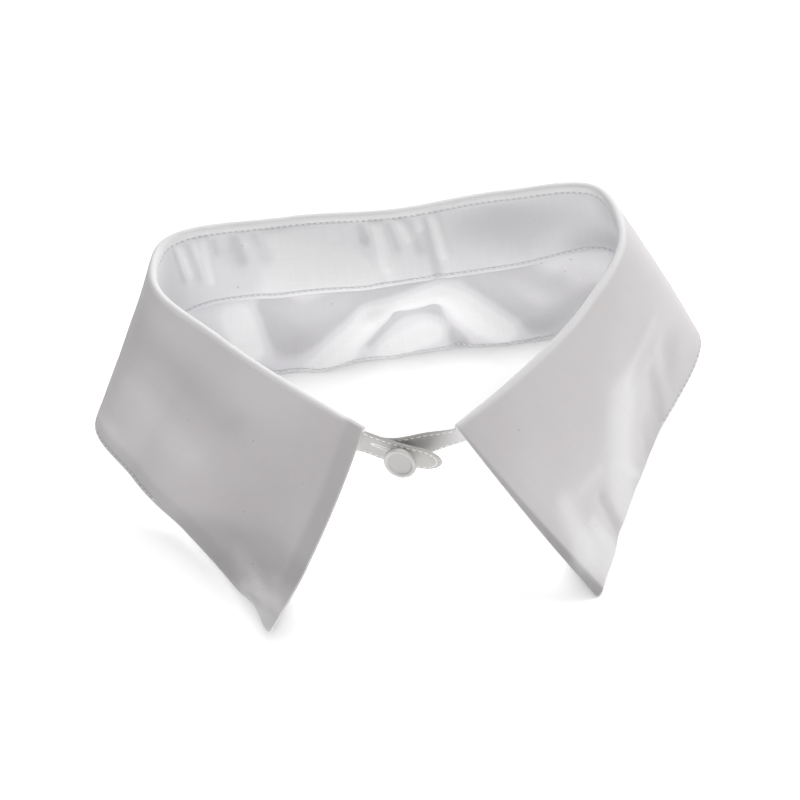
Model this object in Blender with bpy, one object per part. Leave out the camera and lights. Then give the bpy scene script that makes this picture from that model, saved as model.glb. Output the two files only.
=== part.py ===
"""Detachable shirt collar, standing on a table as it is worn, buttoned in front.

Two pressed cotton walls make it: a stand that goes round the neck, whose ends cross in front as tabs, and a
leaf with long points that is sewn to the stand's top edge and turned down over its outside. A small button
hangs in front of the left tab, on a thread that passes through the buttonhole to the right tab.

+X runs from left to right as seen from the front, which is also what left and right mean below. +Y is towards
the back of the neck, and +Z is up. The origin is on the table, in the middle of the footprint. Lengths below
are in millimetres.
"""

import math
from collections import namedtuple

import bmesh
import bpy
from mathutils import Matrix, Vector

MM = 0.001

# The cloth's thickness, two plies and their interlining pressed together, and the gap left at a seam
CLOTH = 1.1
SEAM_GAP = 0.3

# The leaf's fold: its radius, its rise above the stand at the front and the back, and the bow of the fall
FOLD_RADIUS = 0.9
FOLD_RISES = (2.5, 0.8)
LEAF_BOW = 1.6

# The leaf's points: their rounding, the curve of the left and right front edges and how far it reaches in,
# and the hollow in the hem behind each point, with its distance from the front edge and its width
TIP_RADIUS = 2.5
EDGE_CURVES = (2.4, 1.0)
EDGE_REACH = 30.0
HEM_HOLLOWS = (2.4, 0.8)
HOLLOW_PLACE = 5.5
HOLLOW_WIDTH = 4.0

# Cloth that comes this near to the table is pressed flat on it
TABLE_REACH = 0.25

# The button, its raised rim, its sunk face, and the shank behind it
BUTTON_DIAMETER = 11.0
BUTTON_THICKNESS = 2.0
BUTTON_RIM = 1.6
BUTTON_DISH = 0.6
BUTTON_DISH_SLOPE = 0.5
BUTTON_BEVEL = 0.5
SHANK_DIAMETER = 1.8
SHANK_LENGTH = 1.3

# Where the button hangs: its distance from the left tab's end, its stand-off and lift from the hole, its tilt
BUTTON_FROM_END = 12.2
BUTTON_STANDOFF = 5.1
BUTTON_LIFT = 0.9
BUTTON_TILT = math.radians(11)

# The thread, how far it goes on behind the hole, and the hole, with its share of the way down the tab
THREAD_DIAMETER = 1.0
THREAD_REACH = 2.6
BUTTONHOLE_LENGTH = 11.0
BUTTONHOLE_WIDTH = 1.8
BUTTONHOLE_DEPTH = 0.40
CUTTER_DEPTH = 5.0

# Fineness of the meshes, and the angle from which an edge is sharp
LEAF_STATIONS = 97
LEAF_TIP_STATIONS = (0.15, 0.45, 0.75)
LEAF_FOLD_STEPS = 5
LEAF_FALL_STEPS = 9
STAND_STATIONS = 121
STAND_END_STATIONS = (0.02, 0.1, 0.25, 0.7)
STAND_STEPS = 4
BUTTON_SIDES = 40
BUTTON_BEVEL_STEPS = 2
THREAD_SIDES = 12
SHARP_ANGLE = math.radians(50)
TANGENT_STEP = 0.004
UPRIGHT = Vector((0, 0, 1))

# The middle of the footprint, measured from the middle of the neck
FOOTPRINT_CENTRE = Vector((-3.0, -22.7, 0.0))

# Sections round the neck, from the front end of the left leaf round the back to that of the right one, each
# with the crest of the fold, the leaf's hem, and the stand's bottom edge, as x, y, z from the neck's middle.
Section = namedtuple("Section", "crest hem foot")
SECTIONS = (
    Section((-15.5, -45.5, 47), (-53.5, -89, 0.5), (-18, -35, 26.5)),
    Section((-24, -40, 50.5), (-62.5, -70, 2), (-28, -33, 27)),
    Section((-33, -34, 54), (-73, -52.5, 2), (-39, -30, 28)),
    Section((-60, -12, 63), (-97, -20.5, 8.5), (-69, -15, 34)),
    Section((-81, 13, 68.5), (-108.5, 10, 11), (-85, 13, 37)),
    Section((-79, 31, 68), (-90, 32, 4), (-77, 28, 36)),
    Section((-36, 39.5, 67), (-47, 32, 0), (-36, 32.5, 38)),
    Section((2, 37, 67.5), (4, 35.5, 0), (3, 33.5, 36.5)),
    Section((39, 40, 68), (51, 35, 0), (41, 34.5, 37)),
    Section((72, 32, 71), (91, 37, 6), (76, 32, 41)),
    Section((76, 10, 69), (104, 14, 13), (86, 12, 39)),
    Section((61, -14, 62.5), (84, -21, 3), (71, -13, 34)),
    Section((33, -37, 52.5), (67, -54.5, 0.5), (39, -31, 26)),
    Section((14.5, -48, 46), (55, -88, 0.5), (17, -35, 26)),
)

# The stand's tabs beyond the leaf: the top and bottom edge of each section, going away from the leaf
TabSection = namedtuple("TabSection", "top foot")
OVER_TAB = (
    TabSection((-5, -48, 42), (-6, -40.5, 24)),
    TabSection((8.5, -54, 41), (8.8, -45, 23.6)),
)
UNDER_TAB = (
    TabSection((4, -45.5, 42.5), (6, -36.5, 24.5)),
    TabSection((-6, -45, 41), (-5.5, -36.5, 22.5)),
    TabSection((-16, -40, 39), (-17, -32, 21)),
)
TAB_ROUNDING = 6.0

# The largest folds of the leaf. Each is a soft ridge (or a trough, where its height is below zero) between
# two places, given as the share of the way round the neck and the share of the way down from the crest.
# They fade in over the top part of the fall.
Fold = namedtuple("Fold", "start end height width")
FOLDS = (
    Fold((0.42, 0.75), (0.56, 0.35), 1.6, 9.0),
    Fold((0.56, 0.35), (0.63, 0.62), 1.0, 8.0),
    Fold((0.86, 0.55), (0.93, 0.95), 1.0, 8.0),
    Fold((0.80, 0.70), (0.84, 0.98), -0.9, 7.0),
    Fold((0.03, 0.70), (0.09, 0.98), -0.8, 6.0),
)
FOLD_EASE = 0.4


def clear_scene():
    """Remove everything that the scene holds."""
    for existing in list(bpy.data.objects):
        bpy.data.objects.remove(existing, do_unlink=True)


def make_material(name, colour, roughness):
    """Make a plain Principled material."""
    material = bpy.data.materials.new(name)
    material.use_nodes = True
    shader = material.node_tree.nodes["Principled BSDF"]
    shader.inputs["Base Color"].default_value = (*colour, 1.0)
    shader.inputs["Roughness"].default_value = roughness
    shader.inputs["Metallic"].default_value = 0.0
    material.diffuse_color = (*colour, 1.0)
    return material


def chord_length(points):
    """Add up the chords between the points."""
    return sum((after - before).length for before, after in zip(points, points[1:]))


def chord_shares(points):
    """Give each point's distance along the chords between the points, as a share of the whole."""
    whole = chord_length(points)
    return [chord_length(points[: index + 1]) / whole for index in range(len(points))]


def smooth_point(points, knots, share):
    """Find a point of the smooth curve that passes each point at its knot."""
    passed = [index for index, knot in enumerate(knots) if knot <= share]
    span = min(passed[-1], len(points) - 2)
    slopes = []
    for index in (span, span + 1):
        near = max(1, min(index, len(points) - 2))
        before = knots[near] - knots[near - 1]
        after = knots[near + 1] - knots[near]
        rise_before = (points[near] - points[near - 1]) / before
        rise_after = (points[near + 1] - points[near]) / after
        middle = (rise_before * after + rise_after * before) / (before + after)
        slopes.append(rise_before if index < near else rise_after if index > near else middle)
    width = knots[span + 1] - knots[span]
    part = (share - knots[span]) / width
    square = part * part
    cube = square * part
    return (
        points[span] * (2 * cube - 3 * square + 1)
        + slopes[0] * width * (cube - 2 * square + part)
        + points[span + 1] * (3 * square - 2 * cube)
        + slopes[1] * width * (cube - square)
    )


def smooth_columns(columns, knots, share):
    """Read every column of a table at one share of the way along it."""
    return [smooth_point(column, knots, share) for column in columns]


def leaf_columns():
    """Give the crest, hem and foot columns of the section table, and their knots."""
    columns = [[Vector(value) for value in column] for column in zip(*SECTIONS)]
    return columns, chord_shares(columns[0])


def section_axes(columns, knots, share):
    """Find a section's crest, hem, foot, and the stand's upward and outward directions there."""
    crest, hem, foot = smooth_columns(columns, knots, share)
    ahead = smooth_point(columns[0], knots, min(share + TANGENT_STEP, 1.0))
    behind = smooth_point(columns[0], knots, max(share - TANGENT_STEP, 0.0))
    way = (ahead - behind).normalized()
    up = crest - foot
    up = (up - way * up.dot(way)).normalized()
    return crest, hem, foot, up, up.cross(way).normalized()


def fold_rise(share):
    """Say how far the fold stands above the stand, which is least at the back of the neck."""
    front, back = FOLD_RISES
    return front + (back - front) * math.sin(math.pi * share)


def stand_top(crest, up, outward, share):
    """Place the stand's top edge, just under the leaf's inner leg."""
    return crest - up * (FOLD_RADIUS + fold_rise(share) + SEAM_GAP) - outward * FOLD_RADIUS


def fold_offset(share, down, round_length, fall_length):
    """Sum the leaf's folds at one place, as a distance along its outward normal."""
    total = 0.0
    for fold in FOLDS:
        start = Vector((fold.start[0] * round_length, fold.start[1] * fall_length))
        end = Vector((fold.end[0] * round_length, fold.end[1] * fall_length))
        here = Vector((share * round_length, down * fall_length))
        along = end - start
        part = min(1.0, max(0.0, (here - start).dot(along) / along.length_squared))
        distance = (here - start - along * part).length
        total += fold.height * math.exp(-((distance / fold.width) ** 2))
    return total * math.sin(math.pi / 2 * min(1.0, down / FOLD_EASE))


def tip_shortening(distance):
    """Say how much of the leaf's width its rounded point takes away, near the front edge."""
    inside = TIP_RADIUS - min(distance, TIP_RADIUS)
    return TIP_RADIUS - math.sqrt(TIP_RADIUS**2 - inside**2)


def hem_hollow(distance, side_index):
    """Say how much of the leaf's width the hollow behind its point takes away."""
    return HEM_HOLLOWS[side_index] * math.exp(-(((distance - HOLLOW_PLACE) / HOLLOW_WIDTH) ** 2))


def leaf_section(columns, knots, share, round_length):
    """Give the middle of the leaf's wall at one section, from the seam up over the fold to the hem."""
    crest, hem, _foot, up, outward = section_axes(columns, knots, share)
    side_index = 0 if share < 0.5 else 1
    forward = up.cross(outward) * (1 - 2 * side_index)
    centre = crest - up * FOLD_RADIUS
    fall = hem - centre
    lean = math.atan2(fall.dot(outward), -fall.dot(up)) + math.atan2(4 * LEAF_BOW, fall.length)
    sweep = math.pi - lean
    points = [centre - outward * FOLD_RADIUS - up * fold_rise(share)]
    for step in range(LEAF_FOLD_STEPS + 1):
        turn = sweep * step / LEAF_FOLD_STEPS
        points.append(centre + (up * math.sin(turn) - outward * math.cos(turn)) * FOLD_RADIUS)
    start = points[-1]
    fall = hem - start
    side = (up * math.sin(lean) + outward * math.cos(lean)).normalized()
    ends = min(share, 1 - share) * round_length
    kept = 1 - (tip_shortening(ends) + hem_hollow(ends, side_index)) / fall.length
    for step in range(1, LEAF_FALL_STEPS + 1):
        down = kept * step / LEAF_FALL_STEPS
        arch = 4 * down * (1 - down)
        bulge = LEAF_BOW * arch + fold_offset(share, down, round_length, fall.length)
        curve = EDGE_CURVES[side_index] * arch * max(0.0, 1 - ends / EDGE_REACH) ** 2
        points.append(start + fall * down + side * bulge + forward * curve)
    return points


def leaf_shares(round_length):
    """Space the leaf's sections evenly, with a few more round each point."""
    shares = {index / (LEAF_STATIONS - 1) for index in range(LEAF_STATIONS)}
    for part in LEAF_TIP_STATIONS:
        near = part * TIP_RADIUS / round_length
        shares |= {near, 1 - near}
    return sorted(shares)


def leaf_grid():
    """Lay out the middle of the leaf's wall, a row for each section."""
    columns, knots = leaf_columns()
    round_length = chord_length(columns[0])
    return [leaf_section(columns, knots, share, round_length) for share in leaf_shares(round_length)]


def stand_edges():
    """Give the stand's top and bottom edges from the left tab's end to the right tab's end."""
    columns, knots = leaf_columns()
    tops = [Vector(row.top) for row in reversed(OVER_TAB)]
    feet = [Vector(row.foot) for row in reversed(OVER_TAB)]
    for knot in knots:
        crest, _hem, foot, up, outward = section_axes(columns, knots, knot)
        tops.append(stand_top(crest, up, outward, knot))
        feet.append(foot)
    tops += [Vector(row.top) for row in UNDER_TAB]
    feet += [Vector(row.foot) for row in UNDER_TAB]
    return tops, feet


def stand_shares(length):
    """Space the stand's sections evenly, with more round its rounded ends."""
    shares = {index / (STAND_STATIONS - 1) for index in range(STAND_STATIONS)}
    shares -= {0.0, 1.0}
    for part in STAND_END_STATIONS:
        near = part * TAB_ROUNDING / length
        shares |= {near, 1 - near}
    return sorted(shares)


def stand_grid():
    """Lay out the middle of the stand's wall, a row for each section."""
    tops, feet = stand_edges()
    knots = chord_shares(tops)
    leaf, leaf_knots = leaf_columns()
    length = chord_length(tops)
    first = knots[len(OVER_TAB)]
    last = knots[-1 - len(UNDER_TAB)]
    grid = []
    for share in stand_shares(length):
        top, foot = smooth_columns((tops, feet), knots, share)
        if first <= share <= last:
            inner = (share - first) / (last - first)
            crest, _hem, foot, up, outward = section_axes(leaf, leaf_knots, inner)
            top = stand_top(crest, up, outward, inner)
        middle = (top + foot) / 2
        half = (top - foot) / 2
        inside = TAB_ROUNDING - min(min(share, 1 - share) * length, TAB_ROUNDING)
        half *= math.sqrt(1 - (inside / TAB_ROUNDING) ** 2)
        grid.append([middle + half * (1 - 2 * step / STAND_STEPS) for step in range(STAND_STEPS + 1)])
    return grid


def grid_normals(grid):
    """Find the outward normal of the sheet at each point of its grid."""
    last_row, last_point = len(grid) - 1, len(grid[0]) - 1
    normals = []
    for row, points in enumerate(grid):
        line = []
        for index in range(last_point + 1):
            along = grid[min(row + 1, last_row)][index] - grid[max(row - 1, 0)][index]
            across = points[min(index + 1, last_point)] - points[max(index - 1, 0)]
            line.append(along.cross(across).normalized())
        normals.append(line)
    return normals


def make_wall(name, grid, material):
    """Give a sheet the cloth's thickness, as one closed body that stays above the table."""
    rows, width = len(grid), len(grid[0])
    mesh = bmesh.new()
    sides = []
    for side in (0.5, -0.5):
        layer = []
        for points, normals in zip(grid, grid_normals(grid)):
            line = []
            for point, normal in zip(points, normals):
                place = point + normal * (side * CLOTH) - FOOTPRINT_CENTRE
                if place.z < TABLE_REACH:
                    place.z = 0.0
                line.append(mesh.verts.new(place * MM))
            layer.append(line)
        sides.append(layer)
    outer, inner = sides
    for row in range(rows - 1):
        for index in range(width - 1):
            corners = ((row, index), (row + 1, index), (row + 1, index + 1), (row, index + 1))
            mesh.faces.new([outer[i][j] for i, j in corners])
            mesh.faces.new([inner[i][j] for i, j in reversed(corners)])
    border = [(row, 0) for row in range(rows)] + [(rows - 1, index) for index in range(1, width)]
    border += [(row, width - 1) for row in range(rows - 2, -1, -1)]
    border += [(0, index) for index in range(width - 2, 0, -1)]
    for (a, b), (c, d) in zip(border, border[1:] + border[:1]):
        mesh.faces.new((outer[a][b], inner[a][b], inner[c][d], outer[c][d]))
    bmesh.ops.recalc_face_normals(mesh, faces=mesh.faces)
    return finish_object(name, mesh, material)


def finish_object(name, mesh, material):
    """Turn a bmesh into a named object with smooth faces and sharp edges."""
    data = bpy.data.meshes.new(name)
    mesh.to_mesh(data)
    mesh.free()
    data.shade_smooth()
    data.set_sharp_from_angle(angle=SHARP_ANGLE)
    data.materials.append(material)
    made = bpy.data.objects.new(name, data)
    bpy.context.scene.collection.objects.link(made)
    return made


def revolve(profile, sides, frame):
    """Turn a profile of (radius, height) points round the frame's Z axis into a closed body."""
    mesh = bmesh.new()
    rings = []
    for radius, height in profile:
        if radius == 0:
            rings.append([mesh.verts.new(frame @ Vector((0, 0, height)) * MM)])
            continue
        ring = []
        for index in range(sides):
            angle = math.tau * index / sides
            place = Vector((radius * math.cos(angle), radius * math.sin(angle), height))
            ring.append(mesh.verts.new(frame @ place * MM))
        rings.append(ring)
    for lower, upper in zip(rings, rings[1:]):
        for index in range(sides):
            following = (index + 1) % sides
            corners = [lower[index % len(lower)], lower[following % len(lower)]]
            corners += [upper[following % len(upper)], upper[index % len(upper)]]
            mesh.faces.new(list(dict.fromkeys(corners)))
    bmesh.ops.recalc_face_normals(mesh, faces=mesh.faces)
    return mesh


def left_tab_place(distance, down):
    """Find a place on the stand's left tab: the point, and the ways along the tab and down it."""
    edges = stand_edges()
    knots = chord_shares(edges[0])
    share = distance / chord_length(edges[0])
    places = []
    for near in (share - TANGENT_STEP, share, share + TANGENT_STEP):
        top, foot = smooth_columns(edges, knots, near)
        places.append(top + (foot - top) * down)
    top, foot = smooth_columns(edges, knots, share)
    return places[1], (places[2] - places[0]).normalized(), (foot - top).normalized()


def frame_at(origin, along, upward):
    """Make a frame at a point, its Z axis along one direction and its Y axis near another."""
    z_axis = along.normalized()
    x_axis = upward.cross(z_axis).normalized()
    y_axis = z_axis.cross(x_axis)
    frame = Matrix((x_axis, y_axis, z_axis)).transposed().to_4x4()
    frame.translation = origin - FOOTPRINT_CENTRE
    return frame


def button_frame():
    """Stand the button in front of the hole's end, its face turned a little up."""
    hole, way, _down = left_tab_place(BUTTON_FROM_END, BUTTONHOLE_DEPTH)
    facing = UPRIGHT.cross(way).normalized()
    axis = facing * math.cos(BUTTON_TILT) + UPRIGHT * math.sin(BUTTON_TILT)
    return frame_at(hole + facing * BUTTON_STANDOFF + UPRIGHT * BUTTON_LIFT, axis, UPRIGHT)


def make_button(material):
    """Turn the button: a shank behind, a rounded edge, a raised rim and a sunk face."""
    radius, half = BUTTON_DIAMETER / 2, BUTTON_THICKNESS / 2
    shank = SHANK_DIAMETER / 2
    dish = radius - BUTTON_RIM
    profile = [(0, -half - SHANK_LENGTH), (shank, -half - SHANK_LENGTH), (shank, -half)]
    for end in (-1, 1):
        for step in range(BUTTON_BEVEL_STEPS + 1):
            turned = step if end > 0 else BUTTON_BEVEL_STEPS - step
            turn = math.pi / 2 * turned / BUTTON_BEVEL_STEPS
            reach = radius - BUTTON_BEVEL * (1 - math.cos(turn))
            profile.append((reach, end * (half - BUTTON_BEVEL * (1 - math.sin(turn)))))
    profile += [(dish + BUTTON_DISH_SLOPE, half), (dish, half - BUTTON_DISH), (0, half - BUTTON_DISH)]
    return finish_object("button", revolve(profile, BUTTON_SIDES, button_frame()), material)


def make_thread(material):
    """Run the thread from the face of the right tab through the buttonhole to the button's shank."""
    frame = button_frame()
    back = BUTTON_THICKNESS / 2 + SHANK_LENGTH + SEAM_GAP
    start = frame @ Vector((0, 0, -back)) + FOOTPRINT_CENTRE
    hole, _way, _down = left_tab_place(BUTTON_FROM_END, BUTTONHOLE_DEPTH)
    along = (hole - start).normalized()
    length = (hole - start).length + THREAD_REACH
    radius = THREAD_DIAMETER / 2
    profile = [(0, 0), (radius, 0), (radius, length), (0, length)]
    mesh = revolve(profile, THREAD_SIDES, frame_at(start, along, UPRIGHT))
    return finish_object("button_thread", mesh, material)


def cut_buttonhole(stand):
    """Cut the buttonhole through the left tab with a thin box."""
    middle = BUTTON_FROM_END + BUTTONHOLE_LENGTH / 2 - THREAD_DIAMETER
    hole, way, down = left_tab_place(middle, BUTTONHOLE_DEPTH)
    through = way.cross(down)
    frame = frame_at(hole, through, through.cross(way))
    mesh = bmesh.new()
    size = Matrix.Diagonal((BUTTONHOLE_LENGTH, BUTTONHOLE_WIDTH, CUTTER_DEPTH, 1))
    bmesh.ops.create_cube(mesh, size=1.0, matrix=Matrix.Scale(MM, 4) @ frame @ size)
    cutter = finish_object("buttonhole_cutter", mesh, stand.data.materials[0])
    cutter.hide_render = True
    cutter.display_type = "WIRE"
    cut = stand.modifiers.new("buttonhole", "BOOLEAN")
    cut.operation = "DIFFERENCE"
    cut.solver = "EXACT"
    cut.object = cutter


def main():
    """Build the collar."""
    clear_scene()
    cotton = make_material("white_cotton", (0.80, 0.79, 0.79), 0.85)
    plastic = make_material("white_plastic", (0.62, 0.61, 0.59), 0.35)
    thread = make_material("white_thread", (0.85, 0.84, 0.82), 0.7)
    make_wall("collar_leaf", leaf_grid(), cotton)
    stand = make_wall("collar_stand", stand_grid(), cotton)
    cut_buttonhole(stand)
    make_button(plastic)
    make_thread(thread)


main()
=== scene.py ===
# %% [markdown]
# # A detachable shirt collar
# A starched white collar stands on a table as it is worn, its tabs buttoned in front. It is sewn from a
# stand, a straight band round the neck, and a leaf with long points, which turns down over the stand. This
# lesson dresses the collar's plain solids. The cloth becomes thin shells with turned edges and creases, the
# seams get their stitches, and the button gets its rounded rim.
#
# The frame comes first: it holds the solids, and every piece below goes where they are.

# %% Load the frame
import math
from collections import namedtuple
from functools import lru_cache

import bmesh
import bpy
from mathutils import Matrix, Vector


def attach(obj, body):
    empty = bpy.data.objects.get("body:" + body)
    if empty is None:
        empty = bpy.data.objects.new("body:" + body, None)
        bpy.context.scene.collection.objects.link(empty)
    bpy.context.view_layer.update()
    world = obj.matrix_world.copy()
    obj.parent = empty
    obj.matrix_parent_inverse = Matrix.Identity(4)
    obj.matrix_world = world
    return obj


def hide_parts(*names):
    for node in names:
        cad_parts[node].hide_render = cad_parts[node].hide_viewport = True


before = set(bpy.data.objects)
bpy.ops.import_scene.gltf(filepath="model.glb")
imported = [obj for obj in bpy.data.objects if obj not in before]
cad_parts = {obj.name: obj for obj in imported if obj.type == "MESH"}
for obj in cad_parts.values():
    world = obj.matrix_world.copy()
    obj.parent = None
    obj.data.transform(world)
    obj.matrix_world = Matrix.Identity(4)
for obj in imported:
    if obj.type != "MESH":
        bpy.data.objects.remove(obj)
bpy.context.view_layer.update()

scene = bpy.context.scene
print("solids:", ", ".join(sorted(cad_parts)))

# %% [markdown]
# ## The camera
# The photograph was taken with a long lens, from in front and well above, with the camera turned a little
# about its own axis. Lengths are in millimetres here and in all that follows, measured from the middle of the
# footprint on the table: X runs to the right, Y to the back of the neck, Z up.

# %% Place the camera
MM = 0.001
IMAGE_SIZE = 800
SENSOR = 36.0
AIM = Vector((3.0, 22.7, 20.0))
CAMERA_AZIMUTH = math.radians(0.5)
CAMERA_ELEVATION = math.radians(45.2)
CAMERA_ROLL = math.radians(-6.4)
CAMERA_DISTANCE = 735.0
FOCAL_PIXELS = 2123.0
AIM_PIXEL = (408.0, 384.0)


def add_camera():
    """Stand the camera at its distance from the point that it looks at."""
    back = Vector((
        math.sin(CAMERA_AZIMUTH) * math.cos(CAMERA_ELEVATION),
        -math.cos(CAMERA_AZIMUTH) * math.cos(CAMERA_ELEVATION),
        math.sin(CAMERA_ELEVATION),
    ))
    level = Vector((0, 0, 1)).cross(back).normalized()
    upright = back.cross(level)
    right = level * math.cos(CAMERA_ROLL) + upright * math.sin(CAMERA_ROLL)
    up = upright * math.cos(CAMERA_ROLL) - level * math.sin(CAMERA_ROLL)
    data = bpy.data.cameras.new("camera")
    data.sensor_width = SENSOR
    data.lens = FOCAL_PIXELS / IMAGE_SIZE * SENSOR
    data.shift_x = (IMAGE_SIZE / 2 - AIM_PIXEL[0]) / IMAGE_SIZE
    data.shift_y = (AIM_PIXEL[1] - IMAGE_SIZE / 2) / IMAGE_SIZE
    data.clip_start = 0.01
    camera = bpy.data.objects.new("camera", data)
    camera.matrix_world = Matrix((right, up, back)).transposed().to_4x4()
    camera.location = (AIM + back * CAMERA_DISTANCE) * MM
    scene.collection.objects.link(camera)
    scene.camera = camera
    return camera


camera = add_camera()
print(f"camera: a {camera.data.lens:.0f} mm lens, {CAMERA_DISTANCE:.0f} mm away")

# %% [markdown]
# ## The cut and the sections
# A pattern cutter would draw the leaf and the stand flat. What shows here is how they bend round a neck, so
# the shape is told by sections, one every few centimetres, from the left front end round the back to the
# right one. The table is the same as in the solids, so that the finished cloth lies just where they do.

# %% The collar's sizes
CLOTH = 1.1
SEAM_GAP = 0.3
FOLD_RADIUS = 0.9
FOLD_RISES = (2.5, 0.8)
LEAF_BOW = 1.6
TIP_RADIUS = 2.5
EDGE_CURVES = (2.4, 1.0)
EDGE_REACH = 30.0
HEM_HOLLOWS = (2.4, 0.8)
HOLLOW_PLACE = 5.5
HOLLOW_WIDTH = 4.0
TAB_ROUNDING = 6.0
TANGENT_STEP = 0.004
UPRIGHT = Vector((0, 0, 1))
FOOTPRINT_CENTRE = Vector((-3.0, -22.7, 0.0))

# The crest of the fold, the leaf's hem and the stand's bottom edge, as x, y, z from the neck's middle
Section = namedtuple("Section", "crest hem foot")
SECTIONS = (
    Section((-15.5, -45.5, 47), (-53.5, -89, 0.5), (-18, -35, 26.5)),
    Section((-24, -40, 50.5), (-62.5, -70, 2), (-28, -33, 27)),
    Section((-33, -34, 54), (-73, -52.5, 2), (-39, -30, 28)),
    Section((-60, -12, 63), (-97, -20.5, 8.5), (-69, -15, 34)),
    Section((-81, 13, 68.5), (-108.5, 10, 11), (-85, 13, 37)),
    Section((-79, 31, 68), (-90, 32, 4), (-77, 28, 36)),
    Section((-36, 39.5, 67), (-47, 32, 0), (-36, 32.5, 38)),
    Section((2, 37, 67.5), (4, 35.5, 0), (3, 33.5, 36.5)),
    Section((39, 40, 68), (51, 35, 0), (41, 34.5, 37)),
    Section((72, 32, 71), (91, 37, 6), (76, 32, 41)),
    Section((76, 10, 69), (104, 14, 13), (86, 12, 39)),
    Section((61, -14, 62.5), (84, -21, 3), (71, -13, 34)),
    Section((33, -37, 52.5), (67, -54.5, 0.5), (39, -31, 26)),
    Section((14.5, -48, 46), (55, -88, 0.5), (17, -35, 26)),
)

# The stand's tabs beyond the leaf: top and bottom edge, going away from the leaf
TabSection = namedtuple("TabSection", "top foot")
OVER_TAB = (
    TabSection((-5, -48, 42), (-6, -40.5, 24)),
    TabSection((8.5, -54, 41), (8.8, -45, 23.6)),
)
UNDER_TAB = (
    TabSection((4, -45.5, 42.5), (6, -36.5, 24.5)),
    TabSection((-6, -45, 41), (-5.5, -36.5, 22.5)),
    TabSection((-16, -40, 39), (-17, -32, 21)),
)

# %% [markdown]
# ## Creases
# Starched cotton doesn't hang in folds. It keeps soft dents where it was pressed, handled and bent round
# the neck, and small puckers where a seam draws it in. Each is a row of a table: where it starts and ends,
# as the share of the way round and the share of the way down, its height in millimetres, outwards from the
# neck (below zero for a trough), and its width. The leaf's first five rows are the large ones that its
# solid has too.

# %% Tables of creases
Fold = namedtuple("Fold", "start end height width")
LEAF_FOLDS = (
    Fold((0.42, 0.75), (0.56, 0.35), 1.6, 9.0),
    Fold((0.56, 0.35), (0.63, 0.62), 1.0, 8.0),
    Fold((0.86, 0.55), (0.93, 0.95), 1.0, 8.0),
    Fold((0.80, 0.70), (0.84, 0.98), -0.9, 7.0),
    Fold((0.03, 0.70), (0.09, 0.98), -0.8, 6.0),
    # The left point, bent up a little across its end, and its small dents
    Fold((0.052, 0.95), (0.0, 0.68), -1.0, 4.5),
    Fold((0.040, 0.84), (0.012, 0.90), 0.8, 3.0),
    Fold((0.030, 0.93), (0.018, 0.99), 0.6, 2.0),
    Fold((0.014, 0.78), (0.004, 0.86), 0.6, 2.2),
    Fold((0.038, 0.97), (0.028, 0.90), -0.6, 1.8),
    Fold((0.030, 0.88), (0.006, 0.97), 0.7, 5.0),
    Fold((0.020, 0.94), (0.008, 0.90), -0.6, 1.6),
    # The left side, where the leaf was pressed over the stand's edge behind it
    Fold((0.235, 0.17), (0.105, 0.30), -0.9, 9.0),
    Fold((0.12, 0.62), (0.21, 0.50), 0.4, 9.0),
    Fold((0.23, 0.42), (0.28, 0.80), -0.5, 8.0),
    Fold((0.20, 0.86), (0.25, 0.97), 0.4, 5.0),
    # The back, which is seen from its underside below the stand
    Fold((0.372, 0.62), (0.385, 0.82), -1.8, 5.5),
    Fold((0.402, 0.56), (0.425, 0.78), 2.2, 5.0),
    Fold((0.445, 0.98), (0.482, 0.70), -2.4, 4.5),
    Fold((0.482, 0.70), (0.535, 0.60), -2.2, 4.0),
    Fold((0.478, 0.90), (0.500, 0.72), 1.5, 2.2),
    Fold((0.500, 0.72), (0.530, 0.71), 1.3, 2.4),
    Fold((0.495, 0.94), (0.530, 0.84), -1.6, 5.0),
    Fold((0.533, 0.72), (0.545, 0.95), 1.6, 2.8),
    Fold((0.550, 0.68), (0.578, 0.88), -2.0, 5.5),
    Fold((0.572, 0.58), (0.604, 0.86), 1.4, 5.0),
    Fold((0.620, 0.88), (0.660, 0.78), 0.8, 6.0),
    Fold((0.640, 0.55), (0.700, 0.70), -0.6, 8.0),
    # The right side, creased at the hem behind its widest place
    Fold((0.808, 0.58), (0.820, 0.95), 0.6, 2.0),
    Fold((0.820, 0.66), (0.830, 0.92), -0.5, 2.2),
    Fold((0.800, 0.45), (0.855, 0.50), 0.4, 2.2),
    Fold((0.850, 0.82), (0.862, 0.97), -0.5, 3.5),
    Fold((0.912, 0.80), (0.892, 0.97), 0.5, 2.2),
    # The right point
    Fold((0.944, 0.80), (0.952, 0.98), -1.1, 2.0),
    Fold((0.964, 0.82), (0.968, 0.98), 0.7, 2.6),
    Fold((0.972, 0.62), (0.982, 0.80), 0.7, 4.0),
    Fold((0.986, 0.84), (0.979, 0.95), 0.8, 5.0),
    Fold((0.930, 0.70), (0.955, 0.66), 0.4, 2.4),
)
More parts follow.
